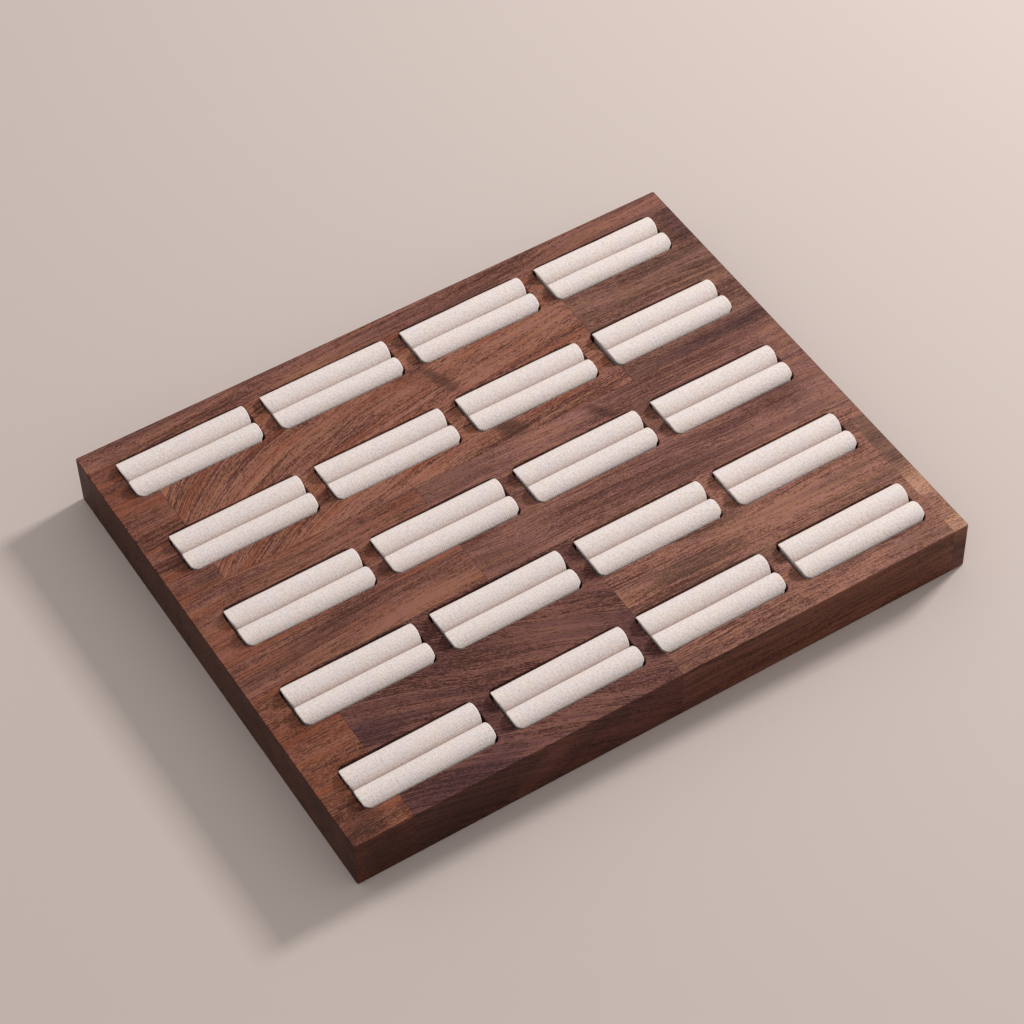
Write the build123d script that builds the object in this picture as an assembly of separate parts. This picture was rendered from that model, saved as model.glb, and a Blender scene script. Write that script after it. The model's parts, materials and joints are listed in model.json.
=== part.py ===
"""Display tray: an edge-glued walnut board with pockets, each holding a lift-out pad of two linen rolls.

Millimetres. X runs along the long side, Y from front to back, Z up. The origin is under the middle of the board.
"""

import os

from build123d import *

# Pattern of pockets, counted from the back left corner
column_count = 4
row_count = 5
land_between_columns = 6.1
land_between_rows = 19.8
left_margin = 10.3
right_margin = 9.8
back_margin = 9.5
front_margin = 10.3

# One pocket
pocket_length = 52.9
pocket_width = 20.2
pocket_depth = 10.0
pocket_corner_radius = 3.0
pocket_mouth_ease = 0.1

# Board
board_thickness = 22.0
upright_corner_radius = 0.8
top_edge_radius = 0.3
bottom_edge_radius = 0.6

# Staves: widths of the rows from the back edge, the front row taking the rest of the board
back_rail_width = 9.9
row_b_width = 68.4
row_c_width = 50.6

# Staves: lengths along each row from the left end, the last stave of a row taking the rest
stave_b_left_length = 18.7
stave_b_middle_length = 170.5
stave_c_left_length = 95.5
stave_d_left_length = 23.3
stave_d_middle_length = 105.9

# Slim strip let into the right end at the front corner
edge_strip_width = 6.2
edge_strip_length = 62.1

# Pad: two linen rolls over foam cores, with a slit between them
pad_end_clearance = 0.3
pad_side_clearance = 0.4
crown_rise = 2.8
slit_width = 0.3
linen_thickness = 0.8
foam_fit = 0.05
roll_base_draw = 0.4
roll_end_draw = 1.1
hem_width = 2.6

# Cutting boxes run past the board by this much
overrun = 5.0

board_length = column_count * pocket_length + (column_count - 1) * land_between_columns + left_margin + right_margin
board_width = row_count * pocket_width + (row_count - 1) * land_between_rows + back_margin + front_margin
pocket_floor = board_thickness - pocket_depth

pad_length = pocket_length - 2 * pad_end_clearance
pad_width = pocket_width - 2 * pad_side_clearance
pad_height = pocket_depth + crown_rise
pad_corner_radius = pocket_corner_radius


def pocket_centre(row, column):
    """Centre of a pocket on the plan, with row 1 at the back and column 1 at the left."""
    x = -board_length / 2 + left_margin + pocket_length / 2
    y = board_width / 2 - back_margin - pocket_width / 2
    x += (column - 1) * (pocket_length + land_between_columns)
    y -= (row - 1) * (pocket_width + land_between_rows)
    return x, y


def board_blank():
    """The glued board before its pockets are cut, with every edge eased."""
    blank = extrude(Rectangle(board_length, board_width), board_thickness)
    blank = fillet(blank.edges().filter_by(Axis.Z), upright_corner_radius)
    blank = fillet(blank.edges().group_by(Axis.Z)[-1], min(top_edge_radius, upright_corner_radius))
    return fillet(blank.edges().group_by(Axis.Z)[0], min(bottom_edge_radius, upright_corner_radius))


def pocket_cutter():
    """One pocket with round corners, flared at the mouth so that the edge of the board is eased."""
    outline = RectangleRounded(pocket_length, pocket_width, pocket_corner_radius)
    mouth = extrude(outline, 2 * pocket_mouth_ease, taper=-45)
    return extrude(outline, pocket_depth) + Pos(0, 0, pocket_depth - pocket_mouth_ease) * mouth


def cutting_box(left, right, back, front):
    """A box through the board, placed by distances from the board's left end and back edge."""
    box = Box(right - left, front - back, board_thickness + 2 * overrun)
    x = -board_length / 2 + (left + right) / 2
    y = board_width / 2 - (back + front) / 2
    return Pos(x, y, board_thickness / 2) * box


def staves():
    """The pocketed board cut along its glue lines into staves, as a dictionary of name to solid."""
    cutter = pocket_cutter()
    pockets = []
    for row in range(1, row_count + 1):
        for column in range(1, column_count + 1):
            x, y = pocket_centre(row, column)
            pockets.append(Pos(x, y, pocket_floor) * cutter)
    board = board_blank() - pockets

    left_end = -overrun
    right_end = board_length + overrun
    back_edge = -overrun
    front_edge = board_width + overrun
    a_to_b = back_rail_width
    b_to_c = a_to_b + row_b_width
    c_to_d = b_to_c + row_c_width
    b_middle_end = stave_b_left_length + stave_b_middle_length
    d_middle_end = stave_d_left_length + stave_d_middle_length
    strip = cutting_box(
        board_length - edge_strip_width,
        right_end,
        board_width - edge_strip_length,
        front_edge,
    )

    boxes = {
        "back_rail": cutting_box(left_end, right_end, back_edge, a_to_b),
        "stave_b_left": cutting_box(left_end, stave_b_left_length, a_to_b, b_to_c),
        "stave_b_middle": cutting_box(stave_b_left_length, b_middle_end, a_to_b, b_to_c),
        "stave_b_right": cutting_box(b_middle_end, right_end, a_to_b, b_to_c),
        "stave_c_left": cutting_box(left_end, stave_c_left_length, b_to_c, c_to_d),
        "stave_c_right": cutting_box(stave_c_left_length, right_end, b_to_c, c_to_d),
        "stave_d_left": cutting_box(left_end, stave_d_left_length, c_to_d, front_edge),
        "stave_d_middle": cutting_box(stave_d_left_length, d_middle_end, c_to_d, front_edge),
        "stave_d_right": cutting_box(d_middle_end, right_end, c_to_d, front_edge) - strip,
        "edge_strip": strip,
    }
    return {name: board & box for name, box in boxes.items()}


def roll_profile(inset):
    """The back roll cut across, inset all round: a flat base, a drawn-in outer side and a half-round top."""
    inner = slit_width / 2 + inset
    outer = pad_width / 2 - inset
    radius = (outer - inner) / 2
    shoulder = pad_height - inset - radius
    with BuildSketch(Plane.YZ) as profile:
        with BuildLine():
            Line((inner, inset), (outer - roll_base_draw, inset))
            Line((outer - roll_base_draw, inset), (outer, shoulder))
            CenterArc((inner + radius, shoulder), radius, 0, 180)
            Line((inner, shoulder), (inner, inset))
        make_face()
    return profile.sketch


def between_ends(inset):
    """The room between a pad's ends, inset at both: upright up to the rolls' shoulders, then leaning outwards."""
    shoulder = pad_height - (pad_width - slit_width) / 4
    foot = pad_length / 2 - roll_end_draw - inset
    head = pad_length / 2 - inset
    side = Polygon(
        (-foot, 0),
        (foot, 0),
        (foot, shoulder),
        (head, pad_height),
        (-head, pad_height),
        (-foot, shoulder),
        align=None,
    )
    return extrude(Plane.XZ * side, pad_width, both=True)


def back_roll(inset):
    """The back roll of a pad, inset all round by a thickness, with flat ends and round outer corners."""
    run = extrude(roll_profile(inset), pad_length / 2, both=True)
    plan = RectangleRounded(
        pad_length - 2 * inset,
        pad_width - 2 * inset,
        pad_corner_radius - inset,
    )
    return run & extrude(plan, pad_height) & between_ends(inset)


def both_rolls(roll):
    """A back roll, and the same turned half round, which makes the front one."""
    return [roll, Rot(0, 0, 180) * roll]


def pad_foam():
    """The two foam cores of a pad, as separate solids."""
    back, front = both_rolls(back_roll(linen_thickness + foam_fit))
    return back + front


def pad_linen():
    """The linen of a pad: over both rolls, down the slit to a web at the base, and turned under as a hem."""
    roll_width = (pad_width - slit_width) / 2
    base_length = pad_length - 2 * roll_end_draw
    web = Box(
        base_length,
        slit_width + 2 * linen_thickness,
        linen_thickness,
        align=(Align.CENTER, Align.CENTER, Align.MIN),
    )
    window = Box(
        base_length - 2 * hem_width,
        roll_width - 2 * hem_width,
        2 * linen_thickness,
    )
    window = Pos(0, slit_width / 2 + roll_width / 2, 0) * window
    outside = web
    for roll in both_rolls(back_roll(0.0)):
        outside += roll
    return outside - both_rolls(back_roll(linen_thickness)) - both_rolls(window)


def pads():
    """Every pad's linen and foam, set on the pocket floors, as a dictionary of name to shape."""
    linen = pad_linen()
    foam = pad_foam()
    placed = {}
    for row in range(1, row_count + 1):
        for column in range(1, column_count + 1):
            x, y = pocket_centre(row, column)
            place = Pos(x, y, pocket_floor)
            placed[f"pad_r{row}c{column}_linen"] = place * linen
            placed[f"pad_r{row}c{column}_foam"] = place * foam
    return placed


os.makedirs("parts", exist_ok=True)
for name, shape in {**staves(), **pads()}.items():
    export_step(shape, f"parts/{name}.step")
print(f"board {board_length:.1f} x {board_width:.1f} x {board_thickness:.1f} mm")
print(f"pad {pad_length:.1f} x {pad_width:.1f} x {pad_height:.1f} mm")
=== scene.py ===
"""Dresses a packed display tray: walnut for its staves, linen and foam for its pads, and a studio stage."""

import json
from math import cos, pi, radians, sin
from typing import NamedTuple

import bmesh
import bpy
import numpy as np
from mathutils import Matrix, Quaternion, Vector

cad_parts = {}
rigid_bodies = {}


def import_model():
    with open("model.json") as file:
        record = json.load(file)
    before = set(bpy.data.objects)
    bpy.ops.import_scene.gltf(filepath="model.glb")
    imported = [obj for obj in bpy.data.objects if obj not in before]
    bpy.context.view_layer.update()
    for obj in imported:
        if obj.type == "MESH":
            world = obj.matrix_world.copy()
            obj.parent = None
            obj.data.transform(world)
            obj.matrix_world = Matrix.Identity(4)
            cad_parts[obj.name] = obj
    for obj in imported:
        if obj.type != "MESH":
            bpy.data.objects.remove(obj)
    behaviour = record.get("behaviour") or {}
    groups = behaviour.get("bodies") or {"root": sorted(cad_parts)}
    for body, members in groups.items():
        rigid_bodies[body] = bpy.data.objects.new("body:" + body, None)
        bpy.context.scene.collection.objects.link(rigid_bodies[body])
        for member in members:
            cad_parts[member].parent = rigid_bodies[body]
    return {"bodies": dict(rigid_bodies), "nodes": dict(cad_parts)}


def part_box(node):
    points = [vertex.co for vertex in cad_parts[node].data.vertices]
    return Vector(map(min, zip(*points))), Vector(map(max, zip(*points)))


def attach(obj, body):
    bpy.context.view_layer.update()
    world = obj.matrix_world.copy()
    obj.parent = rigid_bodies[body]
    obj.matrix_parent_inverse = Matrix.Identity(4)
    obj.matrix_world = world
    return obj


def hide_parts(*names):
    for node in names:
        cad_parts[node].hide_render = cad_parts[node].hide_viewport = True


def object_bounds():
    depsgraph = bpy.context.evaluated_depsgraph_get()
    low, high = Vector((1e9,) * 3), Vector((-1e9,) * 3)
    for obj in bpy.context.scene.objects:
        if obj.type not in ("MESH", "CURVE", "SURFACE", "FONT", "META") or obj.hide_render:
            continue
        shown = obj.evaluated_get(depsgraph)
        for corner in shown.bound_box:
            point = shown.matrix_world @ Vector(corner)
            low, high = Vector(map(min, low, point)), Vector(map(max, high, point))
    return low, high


bl_info = {
    "name": "Display tray dressing",
    "version": (1, 0, 0),
    "blender": (4, 5, 0),
    "location": "3D View > Sidebar > Tray",
    "description": "Walnut staves, linen pads and a studio stage for a display tray",
    "category": "Object",
}

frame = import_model()
CAD_LOW, CAD_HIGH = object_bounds()

MM = 0.001
PAD_BODIES = sorted(name for name in frame["bodies"] if name.startswith("pad_"))


def length_setting(name, description, default):
    """A setting that holds a length, with its default given in mm."""
    return bpy.props.FloatProperty(name=name, description=description, default=default * MM, unit="LENGTH")


def share_setting(name, description, default):
    """A setting that goes from 0 to 1."""
    return bpy.props.FloatProperty(
        name=name, description=description, default=default, min=0, max=1, subtype="FACTOR"
    )


def colour_setting(name, description, default):
    """A setting that holds a colour, with its default given in linear values."""
    return bpy.props.FloatVectorProperty(name=name, description=description, default=default, subtype="COLOR")


def angle_setting(name, description, default):
    """A setting that holds an angle in degrees."""
    return bpy.props.FloatProperty(name=name, description=description + ", degrees", default=default)


# Recipes for materials


def linear(red, green, blue):
    """A colour given in 8-bit display values, as the linear values that shaders take."""
    share = np.array([red, green, blue]) / 255
    light = np.where(share <= 0.04045, share / 12.92, ((share + 0.055) / 1.055) ** 2.4)
    return (*light, 1.0)


def toned(colour, shares):
    """A colour given in 8-bit display values, as linear values of which only these shares are left."""
    return (*(part * share for part, share in zip(linear(*colour), shares)), 1.0)


class Recipe:
    """A material's node tree, written as calls whose inputs are sockets or plain values."""

    def __init__(self, name):
        """Starts a material with an empty tree."""
        self.material = bpy.data.materials.new(name)
        self.material.use_nodes = True
        self.tree = self.material.node_tree
        self.tree.nodes.clear()

    def node(self, kind, inputs, **options):
        """Adds a node, sets its options, and feeds its inputs by name or number."""
        made = self.tree.nodes.new(kind)
        for key, value in options.items():
            setattr(made, key, value)
        for key, value in inputs.items():
            if isinstance(value, bpy.types.NodeSocket):
                self.tree.links.new(value, made.inputs[key])
            else:
                made.inputs[key].default_value = value
        return made

    def math(self, operation, first, second=0.0):
        """One arithmetic step on numbers."""
        return self.node("ShaderNodeMath", {0: first, 1: second}, operation=operation).outputs[0]

    def total(self, first, *others):
        """The sum of any count of numbers."""
        for other in others:
            first = self.math("ADD", first, other)
        return first

    def times(self, first, second):
        """The product of two numbers."""
        return self.math("MULTIPLY", first, second)

    def minus(self, first, second):
        """The first number less the second."""
        return self.math("SUBTRACT", first, second)

    def swing(self, noise, reach):
        """A noise brought to 0 on average, and stretched by a reach."""
        return self.times(self.minus(noise, 0.5), reach)

    def point(self, x, y, z):
        """A vector from three numbers."""
        return self.node("ShaderNodeCombineXYZ", {0: x, 1: y, 2: z}).outputs[0]

    def parts(self, vector):
        """The three numbers of a vector."""
        return self.node("ShaderNodeSeparateXYZ", {0: vector}).outputs

    def length(self, vector):
        """The length of a vector."""
        return self.node("ShaderNodeVectorMath", {0: vector}, operation="LENGTH").outputs["Value"]

    def scaled(self, vector, x, y, z):
        """A vector whose parts are divided by three lengths, so that a pattern has that grain."""
        inputs = {0: vector, 1: (1 / x, 1 / y, 1 / z)}
        return self.node("ShaderNodeVectorMath", inputs, operation="MULTIPLY").outputs[0]

    def noise(self, vector, detail=2.0, roughness=0.5):
        """Smooth noise, about 0.5 on average, with one wave to a unit."""
        inputs = {"Vector": vector, "Scale": 1.0, "Detail": detail, "Roughness": roughness}
        return self.node("ShaderNodeTexNoise", inputs).outputs[0]

    def specks(self, vector):
        """Distance to the nearest of many scattered points, about one to a unit cube."""
        return self.node("ShaderNodeTexVoronoi", {"Vector": vector, "Scale": 1.0}).outputs["Distance"]

    def ease(self, value, low, high, start=0.0, end=1.0):
        """A smooth step from start to end as the value goes from low to high."""
        inputs = {"Value": value, "From Min": low, "From Max": high, "To Min": start, "To Max": end}
        return self.node("ShaderNodeMapRange", inputs, interpolation_type="SMOOTHSTEP").outputs[0]

    def blend(self, factor, first, second, mode="MIX"):
        """Two colours mixed by a factor."""
        inputs = {0: factor, 6: first, 7: second}
        return self.node("ShaderNodeMix", inputs, data_type="RGBA", blend_type=mode).outputs[2]

    def bump(self, height, depth):
        """A normal bent by a height from 0 to 1 that stands for a real depth in metres."""
        inputs = {"Height": height, "Distance": depth, "Strength": 1.0}
        return self.node("ShaderNodeBump", inputs).outputs[0]

    def finish(self, inputs):
        """Ends the recipe in a Principled shader and returns the material."""
        shader = self.node("ShaderNodeBsdfPrincipled", inputs)
        self.node("ShaderNodeOutputMaterial", {"Surface": shader.outputs[0]})
        return self.material


# Walnut


# Display colours of tints, stains and pores, and of glue lines with the painted shade in the pockets
PLUM = (78, 46, 46)
RUSSET = (140, 74, 48)
UMBER = (92, 66, 52)
BARK = (82, 50, 40)
DUSK = (84, 56, 46)
PORE_COLOUR = (46, 22, 16)
GLUE_AND_SHADE_COLOUR = (26, 10, 6)

# Shares of red, green and blue that are left in a colour's darkest and lightest lines
DARK_LINES = (0.35, 0.23, 0.23)
LIGHT_LINES = (1.49, 1.55, 1.53)
DARK_STAIN = (0.55, 0.5, 0.5)
LIGHT_STAIN = (1.4, 1.4, 1.4)

# Colours that the wood is multiplied by where it is cool and where it is warm
COOL_CAST = (0.99, 0.97, 1.1, 1.0)
WARM_CAST = (1.02, 1.03, 0.9, 1.0)


class Pattern(NamedTuple):
    """One noise of the grain: its size in mm along, across and in depth, its detail, and its reach."""

    size: tuple
    detail: float
    reach: float


BROAD = Pattern((45.0, 9.0, 9.0), 1.0, 1.6)
LINES = Pattern((70.0, 0.44, 0.44), 2.0, 2.1)
DASHES = Pattern((4.5, 0.4, 0.4), 1.0, 1.6)
FLECKS = Pattern((0.9, 0.34, 0.34), 1.0, 2.1)
WANDER = Pattern((38.0, 16.0, 30.0), 1.0, 5.0)

# How long and how deep a wave of the rings is, in mm, and their reach in the tone
RING_LENGTH = 60.0
RING_DEPTH = 14.0
RING_REACH = 0.7

# The tone of plain wood, and the tones of its darkest and lightest lines
MEAN_TONE = 0.56
TONE_ENDS = (-0.2, 1.2)

# Sizes in mm of the slow changes in warmth and tint
WARMTH_SIZE = (22.0, 2.6, 2.6)
TINT_SIZE = (45.0, 4.0, 4.0)

# The middle of the tree's rings, in mm on the board's own Y and Z
PITH_Y = -70.0
PITH_Z = -40.0

# How far one unit of seed moves the grain and the rings along a stave, in mm
GRAIN_STEP = 37.0
RING_STEP = 91.0

# Distances from a patch's middle, as shares of its size, at which it is full and at which it has gone
PATCH_FULL = 0.4
PATCH_GONE = 1.6

# How much of the grain's wander bends a patch
PATCH_WANDER = 0.4

# How far a pore reaches, as a share of the pores' spacing, where the rings are low and where they are high
PORE_REACHES = (0.4, 0.22)

# How strongly the tint and the pores colour the wood, and how high flecks stand beside the depth of a pore
TINT_STRENGTH = 0.45
PORE_STRENGTH = 0.42
FLECK_HEIGHT = 0.25

# Distances in mm from the board's outer faces between which their own finish fades in, with the painted shade
# of the sides and ends
FACE_BAND = (0.4, 0.1)

# Depths under the top and heights over the underside, in mm, between which the painted shade on the pockets'
# walls fades in
POCKET_TOP_BAND = (0.1, 0.25)
POCKET_FOOT_BAND = (5.0, 6.0)

# Distances in mm from a joint between which its glue line fades in
GLUE_BAND = (0.16, 0.05)

# A stave's face that lies further than this inside the board's box, in mm, is a joint
JOINT_DEPTH = 1.0


class Shade(NamedTuple):
    """A soft-edged darker or lighter patch of wood: where it is, how large, how turned and how strong.

    Lengths are in mm and the turn is in degrees. A Y past the board's edge is on its long side, folded out.
    A strength over zero stains the wood, and one under zero lightens it.
    """

    x: float
    y: float
    length: float
    width: float
    turn: float
    strength: float


class Figure(NamedTuple):
    """What sets one stave apart: its colours, the lie of its grain, and the patches that catch the eye.

    The tint comes and goes over the face, the stain is the colour of its dark patches, and the streak is how
    strongly its lines show. The grain rises steadily to the right, and on top of that sweeps up from the
    stave's left end. The seed picks another stretch of the same patterns.
    """

    colour: tuple
    tint: tuple
    stain: tuple = DUSK
    rise: float = 0.0
    sweep: float = 0.0
    sweep_from: float = 0.0
    sweep_length: float = 40.0
    streak: float = 1.0
    seed: float = 0.0
    shades: tuple = ()


FIGURES = {
    "back_rail": Figure(
        (121, 78, 64),
        PLUM,
        rise=0.05,
        streak=1.1,
        seed=3.1,
        shades=(Shade(98.0, 95.0, 34.0, 6.0, 0.0, -0.2),),
    ),
    "stave_b_left": Figure(
        (113, 70, 56),
        RUSSET,
        rise=0.03,
        streak=1.1,
        seed=11.7,
        shades=(Shade(-110.0, 26.0, 6.0, 2.6, 0.0, 0.6),),
    ),
    "stave_b_middle": Figure(
        (127, 82, 66),
        RUSSET,
        stain=BARK,
        streak=1.35,
        rise=0.10,
        sweep=0.95,
        sweep_from=-106.0,
        sweep_length=34.0,
        seed=21.3,
        shades=(
            Shade(5.0, 61.0, 10.0, 2.6, -68.0, 0.85),
            Shade(-3.0, 68.0, 8.0, 4.0, -50.0, 0.3),
            Shade(15.0, 26.0, 7.0, 3.8, -50.0, 0.85),
            Shade(-38.0, 60.0, 30.0, 6.0, 12.0, 0.15),
            Shade(36.0, 61.0, 26.0, 8.0, 10.0, -0.3),
            Shade(-14.0, 26.0, 20.0, 4.0, 14.0, -0.35),
        ),
    ),
    "stave_b_right": Figure(
        (115, 77, 64),
        UMBER,
        stain=PLUM,
        rise=-0.05,
        seed=33.9,
        shades=(
            Shade(98.0, 24.5, 34.0, 3.4, 3.0, 0.7),
            Shade(122.0, 82.0, 5.0, 12.0, 0.0, 0.6),
        ),
    ),
    "stave_c_left": Figure(
        (119, 76, 62),
        RUSSET,
        stain=BARK,
        streak=0.9,
        rise=0.04,
        seed=41.5,
        shades=(
            Shade(-96.0, -19.0, 34.0, 3.6, 10.0, 0.5),
            Shade(-112.0, -23.5, 16.0, 1.6, 2.0, 0.6),
            Shade(-50.0, -24.0, 24.0, 4.0, 4.0, -0.4),
            Shade(-59.0, -5.5, 4.0, 3.0, 0.0, 0.5),
        ),
    ),
    "stave_c_right": Figure(
        (124, 82, 70),
        PLUM,
        stain=BARK,
        rise=-0.03,
        seed=57.2,
        shades=(
            Shade(46.0, 15.5, 7.0, 2.0, -55.0, 0.8),
            Shade(-16.0, 19.0, 16.0, 4.0, 0.0, 0.45),
            Shade(-20.0, -24.0, 14.0, 6.0, 0.0, 0.4),
            Shade(0.0, -5.0, 4.0, 8.0, 0.0, 0.3),
            Shade(58.0, -23.5, 34.0, 1.6, -4.0, 0.35),
            Shade(24.0, 18.0, 16.0, 4.0, 0.0, -0.3),
            Shade(120.0, -8.0, 8.0, 20.0, 0.0, -0.35),
        ),
    ),
    "stave_d_left": Figure(
        (119, 73, 55),
        RUSSET,
        stain=BARK,
        streak=1.1,
        rise=0.02,
        seed=63.8,
        shades=(
            Shade(-119.0, -94.0, 10.0, 6.0, 35.0, 0.6),
            Shade(-107.0, -95.0, 4.0, 6.0, 0.0, -0.35),
            Shade(-112.0, -113.0, 14.0, 10.0, 0.0, 0.95),
        ),
    ),
    "stave_d_middle": Figure(
        (104, 65, 56),
        PLUM,
        stain=PLUM,
        streak=1.4,
        rise=-0.42,
        sweep=0.18,
        sweep_from=-102.0,
        sweep_length=30.0,
        seed=71.6,
        shades=(
            Shade(-96.0, -63.0, 9.0, 6.0, -20.0, 0.9),
            Shade(-80.0, -96.0, 26.0, 5.0, 0.0, 0.95),
            Shade(-59.0, -80.0, 4.0, 10.0, 0.0, 0.65),
            Shade(1.0, -78.0, 4.0, 12.0, 0.0, 0.6),
            Shade(-17.0, -60.0, 22.0, 1.5, -25.0, -0.6),
            Shade(-51.0, -96.0, 9.0, 1.4, -34.0, -0.6),
            Shade(-30.0, -96.0, 14.0, 4.0, -20.0, -0.35),
            Shade(-84.0, -112.0, 24.0, 11.0, 0.0, 0.95),
            Shade(-52.0, -111.0, 13.0, 3.6, 40.0, -0.95),
            Shade(-37.0, -112.0, 12.0, 2.2, 40.0, 0.6),
            Shade(-8.0, -111.0, 12.0, 8.0, 0.0, -0.6),
        ),
    ),
    "stave_d_right": Figure(
        (130, 86, 71),
        UMBER,
        stain=BARK,
        streak=1.15,
        rise=-0.02,
        seed=87.4,
        shades=(
            Shade(10.0, -96.0, 14.0, 4.0, 0.0, 0.4),
            Shade(36.0, -64.0, 24.0, 1.4, -3.0, 0.4),
            Shade(84.0, -58.0, 30.0, 7.0, 0.0, -0.25),
            Shade(24.0, -112.0, 26.0, 9.0, 0.0, 0.35),
        ),
    ),
    "edge_strip": Figure(
        (160, 115, 94),
        UMBER,
        streak=0.75,
        seed=93.3,
        shades=(
            Shade(122.0, -50.0, 16.0, 6.0, 90.0, 0.75),
            Shade(122.0, -113.0, 10.0, 11.0, 0.0, 0.5),
        ),
    ),
}


class WalnutSettings(bpy.types.PropertyGroup):
    """Sizes in the grain of the staves, and the finish of their faces, with painted shade on the sides, the
    ends and the pockets' walls.
    """

    pore_length: bpy.props.FloatProperty(
        name="Pore spacing along",
        description="Distance along the grain from pore to pore, mm",
        default=3.2,
        min=0.5,
    )
    pore_width: bpy.props.FloatProperty(
        name="Pore spacing across",
        description="Distance across the grain from pore to pore, mm",
        default=0.55,
        min=0.05,
    )
    ring_width: bpy.props.FloatProperty(
        name="Ring width",
        description="Width of the growth rings, mm",
        default=1.1,
        min=0.2,
    )
    pore_depth: length_setting("Pore depth", "Depth of the pores under the sanded face", 0.06)
    roughness: share_setting("Roughness", "Roughness of the oiled face", 0.55)
    # Painted shade: the long sides are darkened as if turned from the light, and the ends take deeper oil and
    # painted shade
    side_shade: colour_setting(
        "Tone of the sides", "Share of each colour that the oil leaves on the sides", (0.53, 0.41, 0.345)
    )
    end_oil_and_shade: colour_setting(
        "Tone of the ends", "Share of each colour that the oil leaves on the end grain", (0.31, 0.245, 0.21)
    )
    # Painted shade on the pockets' walls, as if in the shade of the recess
    pocket_shade_strength: share_setting("Depth of the pockets", "How much darker the cutter leaves the walls", 0.3)
    glue_depth: share_setting("Depth of the joints", "How much darker a glue line is", 0.55)


class Place(NamedTuple):
    """Where a shaded point is on the board, as sockets in mm.

    The point and its X, Y and Z are the real ones. Side is 1 on the board's long sides and 0 elsewhere, and
    these sides are folded out level with the top: spread and level are Y and Z on the face as it is then.
    """

    point: bpy.types.NodeSocket
    x: bpy.types.NodeSocket
    y: bpy.types.NodeSocket
    z: bpy.types.NodeSocket
    side: bpy.types.NodeSocket
    spread: bpy.types.NodeSocket
    level: bpy.types.NodeSocket


def outer_faces(recipe, part, reach):
    """1 where a part of the place is at its reach, on the board's outer faces, and 0 further in."""
    far, near = FACE_BAND
    return recipe.ease(recipe.math("ABSOLUTE", part), reach - far, reach - near)


def board_place(recipe, top, half_width):
    """The place of the shaded point, with a long side folded out by the point's depth under the top."""
    point = recipe.node("ShaderNodeTexCoord", {}).outputs["Object"]
    point = recipe.scaled(point, MM, MM, MM)
    x, y, z = recipe.parts(point)
    side = outer_faces(recipe, y, half_width)
    fall = recipe.times(side, recipe.minus(top, z))
    level = recipe.total(z, fall)
    spread = recipe.total(y, recipe.times(recipe.math("SIGN", y), fall))
    return Place(point, x, y, z, side, spread, level)


def grain_lines(recipe, figure, place):
    """The wander of the grain, and the shaded point's place in the grain and in the rings.

    Across the grain, its place is its Y less the height of the grain line through it. That line climbs at a
    steady rise, plus a sweep that dies away with distance from the stave's left end, and wanders a little.
    Across the rings, its place is its distance from the pith, so that noise on it runs as lines on the face
    and as arcs on the end grain.
    """
    wander = recipe.noise(recipe.scaled(place.point, *WANDER.size), detail=WANDER.detail)
    wander = recipe.swing(wander, WANDER.reach)
    decay = recipe.math("DIVIDE", recipe.minus(place.x, figure.sweep_from), -figure.sweep_length)
    decay = recipe.times(recipe.math("EXPONENT", decay), -figure.sweep * figure.sweep_length)
    line = recipe.total(recipe.times(place.x, figure.rise), decay, wander)
    across = recipe.minus(place.spread, line)
    along = recipe.total(place.x, GRAIN_STEP * figure.seed)
    grain = recipe.point(along, across, recipe.total(place.level, figure.seed))
    ring = recipe.point(0.0, recipe.minus(across, PITH_Y), recipe.minus(place.level, PITH_Z))
    along = recipe.total(place.x, RING_STEP * figure.seed)
    return wander, grain, recipe.point(along, recipe.length(ring), place.level)


def patch(recipe, shade, place, wander, lines):
    """How strong one shade is at the shaded point.

    It falls off with the distance from the patch's middle, in shares of its size. The wander of the grain
    bends the patch, and its lines fray the rim.
    """
    bent = recipe.total(place.spread, recipe.times(wander, PATCH_WANDER))
    inputs = {
        "Vector": recipe.point(place.x, bent, 0.0),
        "Location": (shade.x, shade.y, 0.0),
        "Rotation": (0.0, 0.0, radians(shade.turn)),
        "Scale": (shade.length, shade.width, 1.0),
    }
    near = recipe.node("ShaderNodeMapping", inputs, vector_type="TEXTURE").outputs[0]
    far = recipe.total(recipe.length(near), recipe.minus(lines, 0.5))
    return recipe.ease(far, PATCH_GONE, PATCH_FULL, 0.0, abs(shade.strength))


def pore_depths(recipe, settings, grain, rings):
    """How deep the pores are, from 0 to 1: 1 near scattered points, reaching further where rings are low."""
    sizes = (settings.pore_length, settings.pore_width, settings.pore_width)
    specks = recipe.specks(recipe.scaled(grain, *sizes))
    reach = recipe.ease(rings, 0.35, 0.65, *PORE_REACHES)
    return recipe.ease(recipe.minus(reach, specks), -0.05, 0.2)


def wood_colour(recipe, figure, grain, tone, stain):
    """The colour of a tone between dark and light lines, with slow changes of warmth, the tint and stains."""
    light = recipe.ease(tone, *TONE_ENDS)
    colour = recipe.blend(light, toned(figure.colour, DARK_LINES), toned(figure.colour, LIGHT_LINES))
    warmth = recipe.noise(recipe.scaled(grain, *WARMTH_SIZE), detail=3.0, roughness=0.65)
    warmth = recipe.blend(recipe.ease(warmth, 0.3, 0.7), COOL_CAST, WARM_CAST)
    colour = recipe.blend(1.0, colour, warmth, "MULTIPLY")
    tint = recipe.noise(recipe.scaled(grain, *TINT_SIZE), detail=2.0)
    tint = recipe.ease(tint, 0.48, 0.7, 0.0, TINT_STRENGTH)
    colour = recipe.blend(tint, colour, linear(*figure.tint))
    deep = recipe.blend(light, toned(figure.stain, DARK_STAIN), toned(figure.stain, LIGHT_STAIN))
    return recipe.blend(stain, colour, deep)


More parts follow.
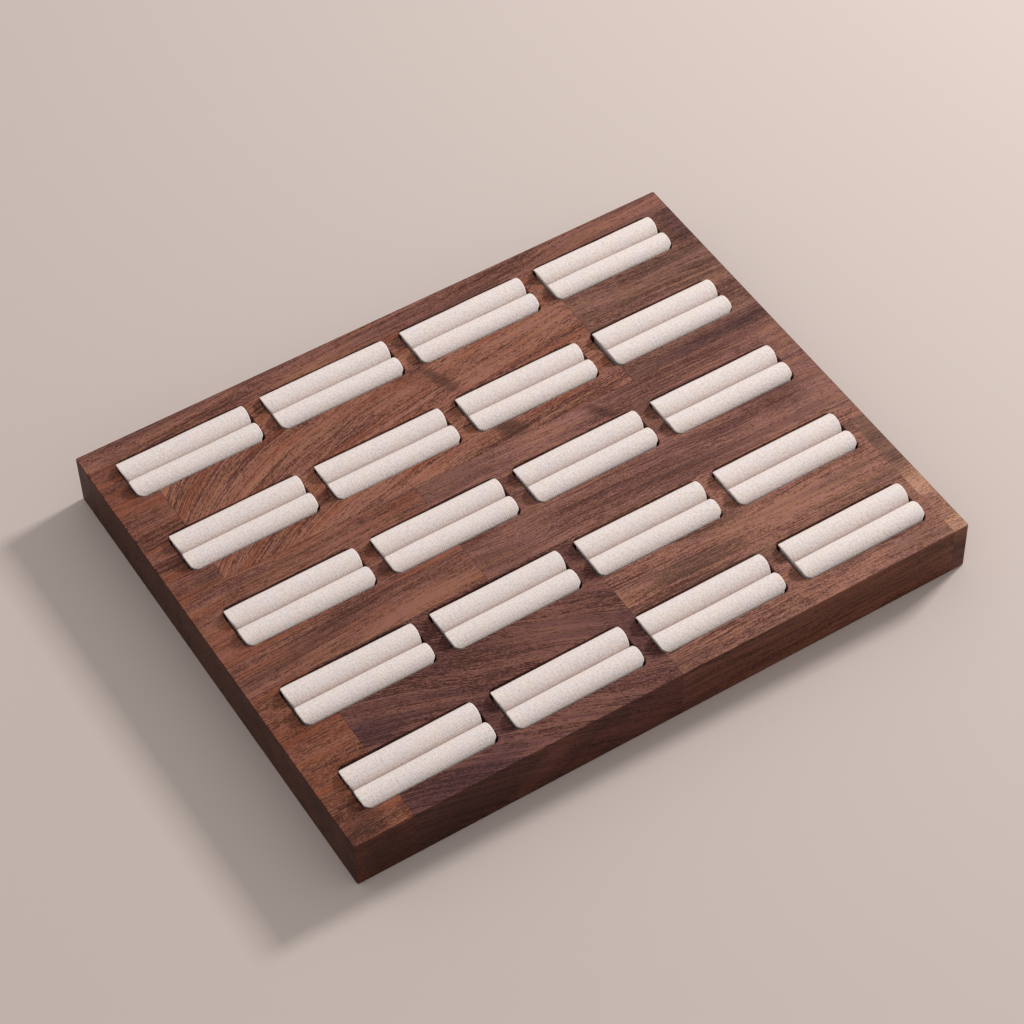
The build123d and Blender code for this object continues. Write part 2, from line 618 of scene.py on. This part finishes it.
def oiled_and_shaded(recipe, settings, place, end, colour):
    """The colour with painted shade on the board's long sides, and on its ends the end grain's deeper oil
    with painted shade as well.
    """
    colour = recipe.blend(place.side, colour, (*settings.side_shade, 1.0), "MULTIPLY")
    end = recipe.times(end, recipe.minus(1.0, place.side))
    return recipe.blend(end, colour, (*settings.end_oil_and_shade, 1.0), "MULTIPLY")


def glue_and_pocket_shade(recipe, settings, place, end, low, high):
    """How dark the glue lines and the painted shade on the walls of the pockets are, from 0 to 1.

    Low and high are the stave's own corners. A face of it that isn't one of the board's is a joint, whose
    glue line shows on every face but the long sides.
    """
    top, foot = POCKET_TOP_BAND, POCKET_FOOT_BAND
    # Painted shade on the pockets' walls: under the top, over the underside, and off the outer faces
    pockets = recipe.ease(place.z, high.z - top[0], high.z - top[1])
    pockets = recipe.times(pockets, recipe.ease(place.z, *foot))
    pockets = recipe.times(pockets, recipe.minus(1.0, recipe.math("MAXIMUM", end, place.side)))
    dark = recipe.times(pockets, settings.pocket_shade_strength)
    lows, highs = [corner / MM for corner in (CAD_LOW, CAD_HIGH)]
    for part, face, edge in (
        (place.x, low.x, lows.x),
        (place.x, high.x, highs.x),
        (place.y, low.y, lows.y),
        (place.y, high.y, highs.y),
    ):
        if abs(face - edge) > JOINT_DEPTH:
            near = recipe.math("ABSOLUTE", recipe.minus(part, face))
            glue = recipe.ease(near, *GLUE_BAND, 0.0, settings.glue_depth)
            glue = recipe.times(glue, recipe.minus(1.0, place.side))
            dark = recipe.math("MAXIMUM", dark, glue)
    return dark


def walnut(name, settings):
    """Solid wood for one stave, worked out at each point from where it lies along and across the grain.

    Its tone is a sum of noises there, from broad changes down to flecks. The lighter patches are added to the
    tone, and of the stains the strongest counts.
    """
    figure = FIGURES[name]
    recipe = Recipe("walnut_" + name)
    low, high = [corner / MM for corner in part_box(name)]
    place = board_place(recipe, high.z, CAD_HIGH.y / MM)
    end = outer_faces(recipe, place.x, CAD_HIGH.x / MM)
    wander, grain, rings = grain_lines(recipe, figure, place)

    rings = recipe.noise(recipe.scaled(rings, RING_LENGTH, settings.ring_width, RING_DEPTH), detail=1.0)
    broad, lines, dashes, flecks = [
        recipe.noise(recipe.scaled(grain, *pattern.size), detail=pattern.detail)
        for pattern in (BROAD, LINES, DASHES, FLECKS)
    ]
    fine = recipe.total(
        recipe.swing(rings, RING_REACH),
        recipe.swing(lines, LINES.reach),
        recipe.swing(dashes, DASHES.reach),
        recipe.swing(flecks, FLECKS.reach),
    )
    fine = recipe.times(fine, figure.streak)
    tone = recipe.total(recipe.swing(broad, BROAD.reach), fine, MEAN_TONE)
    stain = 0.0
    for shade in figure.shades:
        strength = patch(recipe, shade, place, wander, lines)
        if shade.strength > 0:
            stain = recipe.math("MAXIMUM", stain, strength)
        else:
            tone = recipe.total(tone, strength)

    pores = pore_depths(recipe, settings, grain, rings)
    colour = wood_colour(recipe, figure, grain, tone, stain)
    colour = recipe.blend(recipe.times(pores, PORE_STRENGTH), colour, linear(*PORE_COLOUR))
    # Painted shade on the long sides, and deeper oil with painted shade on the end grain
    colour = oiled_and_shaded(recipe, settings, place, end, colour)
    # Glue lines, and painted shade on the pockets' walls
    dark = glue_and_pocket_shade(recipe, settings, place, end, low, high)
    height = recipe.minus(recipe.times(flecks, FLECK_HEIGHT), pores)
    return recipe.finish(
        {
            "Base Color": recipe.blend(dark, colour, linear(*GLUE_AND_SHADE_COLOUR)),
            "Roughness": settings.roughness,
            "Specular IOR Level": 0.18,
            "Normal": recipe.bump(height, settings.pore_depth),
        }
    )


class TRAY_OT_staves(bpy.types.Operator):
    """Gives each stave its own cut of walnut, read from its place in the board"""

    bl_idname = "tray.staves"
    bl_label = "Finish the staves"

    def execute(self, context):
        for name in FIGURES:
            stave = frame["nodes"][name]
            stave.data.materials.clear()
            stave.data.materials.append(walnut(name, context.scene.tray_walnut))
        return {"FINISHED"}


# Pads


class PadSettings(bpy.types.PropertyGroup):
    """Sizes of a pad's rolls, and how loosely they sit."""

    slack: length_setting("Slack", "How much slimmer a pad is on each long side than its solid", 0.12)
    slit: length_setting("Slit", "Gap between the two rolls of a pad", 0.3)
    fold_radius: length_setting("Fold radius", "Rounding where cloth turns over a roll's end", 0.5)
    end_draw: length_setting("End draw", "How far a roll's crown leans out over its ends", 0.85)
    slant: length_setting("Slant", "How far the crown lies to the left of what is under it", 0.5)
    draw_height: length_setting("Draw height", "Depth under the crown over which it leans out", 3.2)
    corner_radius: length_setting("Corner rounding", "Plan radius of a pad's outer corners low down", 2.8)
    crown_rise: length_setting("Crown rise", "Depth under the crown where corners are fully round", 2.8)
    base_radius: length_setting("Base rounding", "Rounding where cloth turns under a roll", 1.0)
    hem: length_setting("Hem", "Cloth turned under each side of a roll", 2.6)
    cloth: length_setting("Cloth thickness", "Thickness of the linen with its backing", 0.6)
    foam_gap: length_setting("Foam inset", "Depth of the foam under the face of the linen", 0.75)
    unevenness: length_setting("Unevenness", "How far a hand-made roll strays from straight", 0.1)
    looseness: length_setting("Looseness", "How far a pad may stray along its pocket", 0.2)


class Lie(NamedTuple):
    """How one pad lies in its pocket: shifts in mm to the right and to the back, and a turn in degrees."""

    right: float
    back: float
    turn: float


# The usual lie, how far a pad strays from it to the back and in its turn, and lies that stand out
USUAL_LIE = Lie(-0.5, -0.2, 0.25)
BACK_SPREAD = 0.1
TURN_SPREAD = 0.3
SEEN_LIES = {
    "pad_r1c4": Lie(-0.35, -0.2, -0.2),
    "pad_r2c4": Lie(0.1, -0.2, 0.1),
    "pad_r5c1": Lie(-0.6, -0.25, 0.5),
    "pad_r5c4": Lie(-0.3, -0.2, 0.3),
}


class Counts(NamedTuple):
    """How many points a roll's grid has: across each end, over each fold, along the middle, and round it."""

    end: int
    fold: int
    middle: int
    around: int


COVER_COUNTS = Counts(end=8, fold=5, middle=36, around=52)
CORE_COUNTS = Counts(end=4, fold=3, middle=12, around=28)

# How far in from the end a roll's middle begins, in fold radii, and how much the fold loses on outer sides
MIDDLE_START = 1.5
SIDE_SHARPNESS = 0.9

# The height of the middle of a roll's end face, as a share of the roll's height
END_MIDDLE = 0.45

# Lengths in mm and weights of a roll's waves, and how far it leans and swells beside how far it lifts
WAVE_LENGTHS = np.array([52, 31, 17, 9])
WAVE_WEIGHTS = np.array([0.5, 0.3, 0.15, 0.06])
LEAN_SHARE = 0.7
SWELL_SHARE = 0.4

# Steps in metres, along and across the bolt, from one row's cloth to the next and one column's to the next
CUT_STEPS = np.array([0.31, 0.47])

# How far the web laps under each roll's cover, as a share of the cloth's thickness
WEB_LAP = 0.6

# Points of a mesh this close, in metres, are one
SAME_POINT = 1e-6


def roll_outline(half_width, height, base_radius, window, count):
    """A roll cut across: points, outward normals and distances round its outline, ending where it began.

    The outline is a disc's edge carried round. The disc's centre, its radius and the angle of its normal go
    evenly from one knot to the next: along the base, round a small corner, up the side, over a half circle
    and down again. The last step crosses the window in the base.
    """
    side = height - half_width - base_radius
    flat = half_width - base_radius - window
    turn = base_radius * pi / 2
    lengths = [0, flat, turn, side, pi * half_width, side, turn, flat, 2 * window]
    wide, high = half_width - base_radius, height - half_width
    centre_y = [window, wide, wide, 0, 0, -wide, -wide, -window, window]
    centre_z = [base_radius] * 3 + [high] * 2 + [base_radius] * 4
    radius = [base_radius] * 3 + [half_width] * 2 + [base_radius] * 4
    angle = [-pi / 2, -pi / 2, 0, 0, pi, pi, 1.5 * pi, 1.5 * pi, 1.5 * pi]
    knots = np.cumsum(lengths)
    run = np.append(np.linspace(0, knots[-2], count), knots[-1])
    turned = np.interp(run, knots, angle)
    normal = np.stack([np.cos(turned), np.sin(turned)], -1)
    centre = np.stack([np.interp(run, knots, centre_y), np.interp(run, knots, centre_z)], -1)
    return centre + normal * np.interp(run, knots, radius)[:, None], normal, run


def roll_stations(length, fold_radius, counts):
    """Rows along a roll, from end to end: how far across its end, its distance from the end face, and its X.

    Shares across an end are squares of even steps, rows over a fold go evenly round a quarter circle, and
    the rest go evenly along the middle.
    """
    across = np.linspace(1, 0, counts.end, endpoint=False) ** 2
    depth = fold_radius * (1 - np.cos(np.linspace(0, pi / 2, counts.fold)))
    reach = length / 2 - MIDDLE_START * fold_radius
    x_end = np.concatenate([np.full(counts.end, -length / 2), depth - length / 2])
    x = np.concatenate([x_end, np.linspace(-reach, reach, counts.middle), -x_end[::-1]])
    share = np.concatenate([across, np.zeros(2 * counts.fold + counts.middle), across[::-1]])
    return share, length / 2 - np.abs(x), x


def roll_surface(size, side, settings, inset, counts, rng):
    """One closed roll as a grid going along the roll and round its outline, with its cloth distances.

    Near an end the outline is drawn in by a quarter circle, where the cloth folds over. Across the end face
    the rows shrink to its middle. Every row's X is then shortened in proportion, by the round plan corner's
    depth at that distance from the pad's outer side, and by a draw that grows evenly with depth under the
    crown, so that the crown leans out over both ends. The corner's radius grows from nothing at the crown as
    well. A slant that grows like the draw moves what lies under the crown to the right. Slow waves bend the
    roll and move its crown.
    """
    length, height = size[0] - 2 * inset, size[2] - 2 * inset
    half_width = (size[1] - settings.slit) / 4
    window = half_width - settings.hem
    outline, normal, run = roll_outline(
        half_width - inset, height, settings.base_radius, window, counts.around
    )
    share, depth, x = roll_stations(length, settings.fold_radius, counts)
    outer = np.clip(normal[:, 0] * side, 0, 1)
    fold = settings.fold_radius * (1 - SIDE_SHARPNESS * outer**2)
    reach = np.maximum(fold[None] - depth[:, None], 0)
    drawn = fold[None] - np.sqrt(np.maximum(fold[None] ** 2 - reach**2, 0))
    points = outline[None] - drawn[..., None] * normal[None]
    middle = np.array([0, END_MIDDLE * height])
    points = middle + (1 - share[:, None, None]) * (points - middle)
    y, z = points[..., 0], points[..., 1]
    under = np.maximum(height - z, 0)
    corner = (settings.corner_radius - inset) * np.minimum(under / settings.crown_rise, 1)
    within = np.clip(corner - (half_width - inset - side * y), 0, corner)
    shortened = corner - np.sqrt(corner**2 - within**2)
    droop = np.minimum(under / settings.draw_height, 1)
    x = x[:, None] * (1 - 2 * (shortened + settings.end_draw * droop) / length) + settings.slant * droop

    waves = 2 * pi / (WAVE_LENGTHS * MM)
    lift, lean, swell = [
        (WAVE_WEIGHTS * np.sin(x[..., None] * waves + phase)).sum(-1) * settings.unevenness
        for phase in rng.uniform(0, 2 * pi, (3, 4))
    ]
    level = np.clip(z / height, 0, 1)
    cloth = np.stack([x, np.broadcast_to(run[None], x.shape)], -1)
    end_cloth = np.stack([y, z], -1)
    y = y + lean * level * LEAN_SHARE + swell * SWELL_SHARE * np.sign(y) * level**2
    z = z + lift * level**2
    grid = np.stack([x, y + side * (half_width + settings.slit / 2), z + inset], -1)
    return grid, cloth, end_cloth


def grid_quads(rows, columns, first):
    """Quads of a grid of points whose numbers start at first."""
    row, column = np.meshgrid(np.arange(rows - 1), np.arange(columns - 1), indexing="ij")
    corner = (row * columns + column).reshape(-1, 1)
    return corner + np.array([0, 1, columns + 1, columns]) + first


def make_mesh(name, points, quads, cloth=None):
    """A mesh object at the origin from points and quads, closed where points meet.

    Where cloth distances are given, at each quad's corners, they are its UV.
    """
    mesh = bpy.data.meshes.new(name)
    mesh.from_pydata(points.tolist(), [], quads.tolist())
    if cloth is not None:
        mesh.uv_layers.new(name="Cloth").data.foreach_set("uv", cloth.astype(np.float32).ravel())
    joined = bmesh.new()
    joined.from_mesh(mesh)
    bmesh.ops.remove_doubles(joined, verts=joined.verts, dist=SAME_POINT)
    joined.to_mesh(mesh)
    joined.free()
    mesh.shade_smooth()
    made = bpy.data.objects.new(name, mesh)
    bpy.context.scene.collection.objects.link(made)
    return made


def pad_place(body, settings, rng):
    """A function that sets points made about a pad's foot into its pocket, turned and shifted a little."""
    low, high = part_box(body + "_linen")
    middle = (low + high) / 2
    chance = rng.uniform(-1, 1, 3)
    right = USUAL_LIE.right + chance[0] * (settings.looseness / MM)
    back = USUAL_LIE.back + chance[1] * BACK_SPREAD
    lie = SEEN_LIES.get(body, Lie(right, back, USUAL_LIE.turn + chance[2] * TURN_SPREAD))
    turn = radians(lie.turn)
    spin = np.array([[cos(turn), -sin(turn), 0], [sin(turn), cos(turn), 0], [0, 0, 1]])
    foot = np.array([middle.x + lie.right * MM, middle.y + lie.back * MM, low.z])
    return lambda points: points @ spin.T + foot


def roll_pair(body, settings, inset, counts):
    """Both rolls of a pad, with the function that places them.

    They are points, quads, cloth distances at each quad's corners, and which quads are the window in a base.
    """
    low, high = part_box(body + "_linen")
    pad_row, pad_column = int(body[5]), int(body[7])
    rng = np.random.default_rng(pad_row * 10 + pad_column)
    place = pad_place(body, settings, rng)
    start = CUT_STEPS * [pad_row, pad_column]
    size = (high.x - low.x, high.y - low.y - 2 * settings.slack, high.z - low.z)
    points, quads, cloths, windows = [], [], [], []
    for side in (1, -1):
        grid, cloth, end_cloth = roll_surface(size, side, settings, inset, counts, rng)
        cloth, end_cloth = (cloth + start).reshape(-1, 2), (end_cloth + start).reshape(-1, 2)
        made = grid_quads(len(grid), counts.around + 1, 0)
        station, column = np.divmod(made[:, 0], counts.around + 1)
        from_end = np.minimum(station, len(grid) - 2 - station)
        on_end = from_end < counts.end
        windows.append((column == counts.around - 1) & (from_end >= counts.end + counts.fold))
        cloths.append(np.where(on_end[:, None, None], end_cloth[made], cloth[made]))
        quads.append(made + sum(len(done) for done in points))
        points.append(grid.reshape(-1, 3))
    points, quads, cloths, windows = [np.concatenate(group) for group in (points, quads, cloths, windows)]
    return place, place(points), quads, cloths, windows


class LinenSettings(bpy.types.PropertyGroup):
    """The weave of the pads' cloth, with painted shade in its hollows."""

    thread_pitch: length_setting("Thread pitch", "Distance from one thread to the next", 0.8)
    thread_relief: length_setting("Thread relief", "Height of the weave's crossings", 0.06)
    thread_colour: colour_setting("Thread colour", "Colour of the threads", linear(234, 222, 217)[:3])
    # Painted shade: the colour where the cloth lies low, between the threads
    hollow_shade_colour: colour_setting("Hollow colour", "Colour between the threads", linear(212, 197, 190)[:3])


# Sizes of the linen's unevenness, in threads: waves in the threads, slubs, fuzz and dye
RIPPLE_SIZE = 6
SLUB_LENGTH = 5
SLUB_WIDTH = 0.9
FUZZ_SIZE = 1.2
DYE_SIZE = 7

# How far threads wave, in threads, and what weave, slubs and fuzz add to the cloth's height
RIPPLE_REACH = 1.6
WEAVE_HEIGHT = 0.7
SLUB_HEIGHT = 0.7
FUZZ_HEIGHT = 2.2
LEAST_HEIGHT = 0.15

# Colours that the linen is multiplied by where it took its dye cool and where it took it warm
COOL_DYE = (0.98, 0.975, 1.0, 1.0)
WARM_DYE = (1.0, 0.985, 0.955, 1.0)


def woven(recipe, cloth, ripple, pitch):
    """The height of a plain weave, from 0 to 1, on cloth distances.

    A thread's height is the root of a sine across it, times a wave along it that puts it on top at every
    other crossing. The cross threads do the same in between, and the face is whichever is higher.
    """
    x, y, _ = recipe.parts(recipe.scaled(cloth, pitch, pitch, 1.0))
    waves = [recipe.math("SINE", recipe.times(recipe.total(part, ripple), pi)) for part in (x, y)]
    widths = [recipe.math("POWER", recipe.math("ABSOLUTE", wave), 0.5) for wave in waves]
    signs = [recipe.math("SIGN", wave) for wave in waves]
    over = recipe.times(recipe.times(waves[0], signs[1]), 0.5)
    under = recipe.times(recipe.times(waves[1], signs[0]), -0.5)
    long_thread = recipe.times(widths[1], recipe.total(over, 0.5))
    cross_thread = recipe.times(widths[0], recipe.total(under, 0.5))
    return recipe.math("MAXIMUM", long_thread, cross_thread)


def linen(settings):
    """Plain weave whose threads wave a little, with slubs, fuzz and uneven dye.

    Noise stretched along the threads, once each way, thickens and thins them, which makes slubs.
    """
    recipe = Recipe("linen")
    cloth = recipe.node("ShaderNodeUVMap", {}, uv_map="Cloth").outputs[0]
    pitch = settings.thread_pitch

    def uneven(along, across, **options):
        """Noise on the cloth whose waves are so many threads long and wide."""
        return recipe.noise(recipe.scaled(cloth, along * pitch, across * pitch, 1.0), **options)

    ripple = recipe.swing(uneven(RIPPLE_SIZE, RIPPLE_SIZE, detail=1.0), RIPPLE_REACH)
    weave = woven(recipe, cloth, ripple, pitch)
    long_slub = uneven(SLUB_LENGTH, SLUB_WIDTH, detail=2.0)
    cross_slub = uneven(SLUB_WIDTH, SLUB_LENGTH, detail=2.0)
    slub = recipe.times(recipe.total(long_slub, cross_slub, -1.0), SLUB_HEIGHT)
    fuzz = recipe.swing(uneven(FUZZ_SIZE, FUZZ_SIZE, detail=2.0, roughness=0.6), FUZZ_HEIGHT)
    height = recipe.total(recipe.times(weave, WEAVE_HEIGHT), slub, fuzz, LEAST_HEIGHT)

    thread, hollow = (*settings.thread_colour, 1.0), (*settings.hollow_shade_colour, 1.0)
    # Darker where the cloth is low: painted shade in the weave's hollows, which also shows slubs and fuzz as
    # uneven tone
    colour = recipe.blend(recipe.ease(height, -0.1, 1.0), hollow, thread)
    dye = uneven(DYE_SIZE, DYE_SIZE, detail=3.0)
    dye = recipe.blend(recipe.ease(dye, 0.35, 0.65), COOL_DYE, WARM_DYE)
    return recipe.finish(
        {
            "Base Color": recipe.blend(1.0, colour, dye, "MULTIPLY"),
            "Roughness": 0.92,
            "Specular IOR Level": 0.2,
            "Sheen Weight": 0.1,
            "Sheen Roughness": 0.5,
            "Normal": recipe.bump(height, settings.thread_relief),
        }
    )


# The foam's cells: their size and depth in metres, and the display colours of their hollows, with painted
# shade, and of their walls
CELL_SIZE = 0.5 * MM
CELL_DEPTH = 0.1 * MM
CELL_SHADE_COLOUR = (190, 184, 166)
WALL_COLOUR = (226, 221, 206)


def foam():
    """Fine open foam: cells are hollow at scattered points and rise with distance from them, with painted
    shade in the hollows.
    """
    recipe = Recipe("foam")
    place = recipe.node("ShaderNodeTexCoord", {}).outputs["Object"]
    cells = recipe.specks(recipe.scaled(place, CELL_SIZE, CELL_SIZE, CELL_SIZE))
    walls = recipe.ease(cells, 0.1, 0.7)
    height = recipe.ease(cells, 0.1, 0.6)
    return recipe.finish(
        {
            "Base Color": recipe.blend(walls, linear(*CELL_SHADE_COLOUR), linear(*WALL_COLOUR)),
            "Roughness": 0.95,
            "Normal": recipe.bump(height, CELL_DEPTH),
        }
    )


def cover_web(body, settings):
    """The web's points and quads: a flat strip as long as the rolls' feet, from one roll to the other."""
    low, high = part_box(body + "_linen")
    half_length = (high.x - low.x) / 2 - settings.end_draw
    edge = settings.slit / 2 + WEB_LAP * settings.cloth
    along = np.linspace(-half_length, half_length, COVER_COUNTS.middle) + settings.slant
    x, y = np.meshgrid(along, [edge, 0, -edge], indexing="ij")
    points = np.stack([x, y, np.full_like(x, settings.cloth)], -1).reshape(-1, 3)
    return points, grid_quads(len(along), 3, 0)


class TRAY_OT_covers(bpy.types.Operator):
    """Makes each pad's linen: two rolls, a web between them, and a hem turned under round an open window"""

    bl_idname = "tray.covers"
    bl_label = "Sew the linen covers"

    def execute(self, context):
        settings = context.scene.tray_pads
        material = linen(context.scene.tray_linen)
        for body in PAD_BODIES:
            place, points, quads, cloth, windows = roll_pair(body, settings, 0.0, COVER_COUNTS)
            web, web_quads = cover_web(body, settings)
            cloth = np.concatenate([cloth[~windows], web[web_quads][..., :2]])
            quads = np.concatenate([quads[~windows], web_quads + len(points)])
            points = np.concatenate([points, place(web)])
            cover = make_mesh(body + "_cover", points, quads, cloth)
            cover.data.materials.append(material)
            thickness = cover.modifiers.new("cloth", "SOLIDIFY")
            thickness.thickness = settings.cloth
            thickness.offset = -1
            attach(cover, body)
            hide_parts(body + "_linen")
        return {"FINISHED"}


class TRAY_OT_cores(bpy.types.Operator):
    """Makes the two foam cores inside each pad"""

    bl_idname = "tray.cores"
    bl_label = "Cut the foam cores"

    def execute(self, context):
        settings = context.scene.tray_pads
        material = foam()
        for body in PAD_BODIES:
            _, points, quads, _, _ = roll_pair(body, settings, settings.foam_gap, CORE_COUNTS)
            core = make_mesh(body + "_core", points, quads)
            core.data.materials.append(material)
            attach(core, body)
            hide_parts(body + "_foam")
        return {"FINISHED"}


# Stage


class StageSettings(bpy.types.PropertyGroup):
    """The floor, the lamp, the even light and the camera."""

    floor_colour: colour_setting("Floor colour", "Colour of the plain floor", linear(200, 186, 179)[:3])
    key_power: bpy.props.FloatProperty(
        name="Key power",
        description="Power of the soft lamp",
        default=21.0,
        unit="POWER",
    )
    key_azimuth: angle_setting("Key azimuth", "Side that the lamp stands on, from +X towards +Y", 10.0)
    key_elevation: angle_setting("Key elevation", "Height of the lamp above the floor", 33.0)
    fill_strength: bpy.props.FloatProperty(
        name="Fill strength",
        description="Strength of the even light from all round",
        default=0.6,
        min=0,
    )
    view_azimuth: angle_setting("View azimuth", "Turn of the camera's line of sight from +Y", 30.38)
    view_elevation: angle_setting("View elevation", "Height of the camera's line of sight", 50.01)
    view_roll: angle_setting("View roll", "Roll of the camera about its line of sight", -2.1)
    view_distance: length_setting("View distance", "Distance from the camera to its aim", 1116.8)
    view_aim: bpy.props.FloatVectorProperty(
        name="View aim",
        description="Point that the camera looks at",
        default=(-6.35 * MM, -7.31 * MM, 22.08 * MM),
        subtype="TRANSLATION",
    )
    view_lens: bpy.props.FloatProperty(
        name="View lens",
        description="Focal length on a 36 mm sensor, mm",
        default=111.0,
        min=10,
    )


# Sizes in metres: from the tray's foot to the floor's edges and to the lamp, and the lamp's side
FLOOR_REACH = 3.0
KEY_DISTANCE = 1.6
KEY_SIZE = 0.26

# The width of the camera's sensor in mm, and the colour of the even light
SENSOR_WIDTH = 36
FILL_COLOUR = (1.0, 0.99, 0.98, 1.0)


def direction(azimuth, elevation):
    """A unit vector whose azimuth runs from +X towards +Y, with its elevation above the floor, in degrees."""
    turn, rise = radians(azimuth), radians(elevation)
    return Vector((cos(turn) * cos(rise), sin(turn) * cos(rise), sin(rise)))


def stage_floor(settings):
    """A plain square floor about the tray's foot."""
    reach = FLOOR_REACH
    corners = np.array([[-reach, -reach, 0], [reach, -reach, 0], [reach, reach, 0], [-reach, reach, 0]])
    floor = make_mesh("floor", corners, np.array([[0, 1, 2, 3]]))
    colour = (*settings.floor_colour, 1.0)
    surface = {"Base Color": colour, "Roughness": 0.9, "Specular IOR Level": 0.1}
    floor.data.materials.append(Recipe("floor").finish(surface))
    return floor


def key_lamp(settings):
    """A square soft lamp that stands off the tray's foot in its direction, and faces it."""
    data = bpy.data.lights.new("key", "AREA")
    data.shape = "SQUARE"
    data.size = KEY_SIZE
    data.energy = settings.key_power
    lamp = bpy.data.objects.new("key", data)
    bpy.context.scene.collection.objects.link(lamp)
    away = direction(settings.key_azimuth, settings.key_elevation)
    lamp.location = away * KEY_DISTANCE
    lamp.rotation_mode = "QUATERNION"
    lamp.rotation_quaternion = away.to_track_quat("Z", "Y")


def view_camera(settings):
    """A camera that stands back from its aim along the line of sight, and is rolled about that line."""
    data = bpy.data.cameras.new("camera")
    data.lens = settings.view_lens
    data.sensor_width = SENSOR_WIDTH
    camera = bpy.data.objects.new("camera", data)
    bpy.context.scene.collection.objects.link(camera)
    back = direction(-90 - settings.view_azimuth, settings.view_elevation)
    camera.location = Vector(settings.view_aim) + back * settings.view_distance
    camera.rotation_mode = "QUATERNION"
    roll = Quaternion((0, 0, 1), radians(settings.view_roll))
    camera.rotation_quaternion = (-back).to_track_quat("-Z", "Y") @ roll
    return camera


def studio(settings):
    """Even light from all round, with a pale wall where the camera or a reflection looks past the floor."""
    world = bpy.data.worlds.new("studio")
    world.use_nodes = True
    tree = world.node_tree
    lit = tree.nodes["Background"]
    lit.inputs["Color"].default_value = FILL_COLOUR
    lit.inputs["Strength"].default_value = settings.fill_strength
    wall = tree.nodes.new("ShaderNodeBackground")
    wall.inputs["Color"].default_value = (*settings.floor_colour, 1.0)
    rays = tree.nodes.new("ShaderNodeLightPath")
    seen = rays.outputs["Is Camera Ray"]
    for kind in ("Is Glossy Ray", "Is Transmission Ray"):
        either = tree.nodes.new("ShaderNodeMath")
        either.operation = "MAXIMUM"
        tree.links.new(seen, either.inputs[0])
        tree.links.new(rays.outputs[kind], either.inputs[1])
        seen = either.outputs[0]
    mix = tree.nodes.new("ShaderNodeMixShader")
    tree.links.new(seen, mix.inputs[0])
    tree.links.new(lit.outputs[0], mix.inputs[1])
    tree.links.new(wall.outputs[0], mix.inputs[2])
    tree.links.new(mix.outputs[0], tree.nodes["World Output"].inputs["Surface"])
    return world


class TRAY_OT_stage(bpy.types.Operator):
    """Lays a plain pale floor, hangs a soft lamp and sets the camera"""

    bl_idname = "tray.stage"
    bl_label = "Set the stage"

    def execute(self, context):
        scene = context.scene
        settings = scene.tray_stage
        stage_floor(settings)
        scene.world = studio(settings)
        key_lamp(settings)
        scene.camera = view_camera(settings)
        scene.view_settings.view_transform = "Standard"
        return {"FINISHED"}


class TRAY_PT_panel(bpy.types.Panel):
    """Lists the steps that dress the tray, with their settings"""

    bl_label = "Display tray"
    bl_idname = "TRAY_PT_panel"
    bl_space_type = "VIEW_3D"
    bl_region_type = "UI"
    bl_category = "Tray"

    def draw(self, context):
        scene = context.scene
        for operator, settings in (
            (TRAY_OT_staves, (scene.tray_walnut,)),
            (TRAY_OT_covers, (scene.tray_pads, scene.tray_linen)),
            (TRAY_OT_cores, ()),
            (TRAY_OT_stage, (scene.tray_stage,)),
        ):
            box = self.layout.box()
            box.operator(operator.bl_idname)
            for group in settings:
                for key in group.bl_rna.properties.keys():
                    if key not in ("rna_type", "name"):
                        box.prop(group, key)


SETTINGS = {
    "tray_walnut": WalnutSettings,
    "tray_pads": PadSettings,
    "tray_linen": LinenSettings,
    "tray_stage": StageSettings,
}
OPERATORS = (TRAY_OT_stage, TRAY_OT_staves, TRAY_OT_covers, TRAY_OT_cores)


def register():
    """Adds the settings, the steps and the panel to Blender."""
    for name, group in SETTINGS.items():
        bpy.utils.register_class(group)
        setattr(bpy.types.Scene, name, bpy.props.PointerProperty(type=group))
    for operator in OPERATORS:
        bpy.utils.register_class(operator)
    bpy.utils.register_class(TRAY_PT_panel)


def unregister():
    """Takes them out again."""
    bpy.utils.unregister_class(TRAY_PT_panel)
    for operator in OPERATORS:
        bpy.utils.unregister_class(operator)
    for name, group in SETTINGS.items():
        delattr(bpy.types.Scene, name)
        bpy.utils.unregister_class(group)


def main():
    """Runs every step in order."""
    register()
    bpy.ops.tray.stage()
    bpy.ops.tray.staves()
    bpy.ops.tray.covers()
    bpy.ops.tray.cores()


if __name__ == "__main__":
    main()
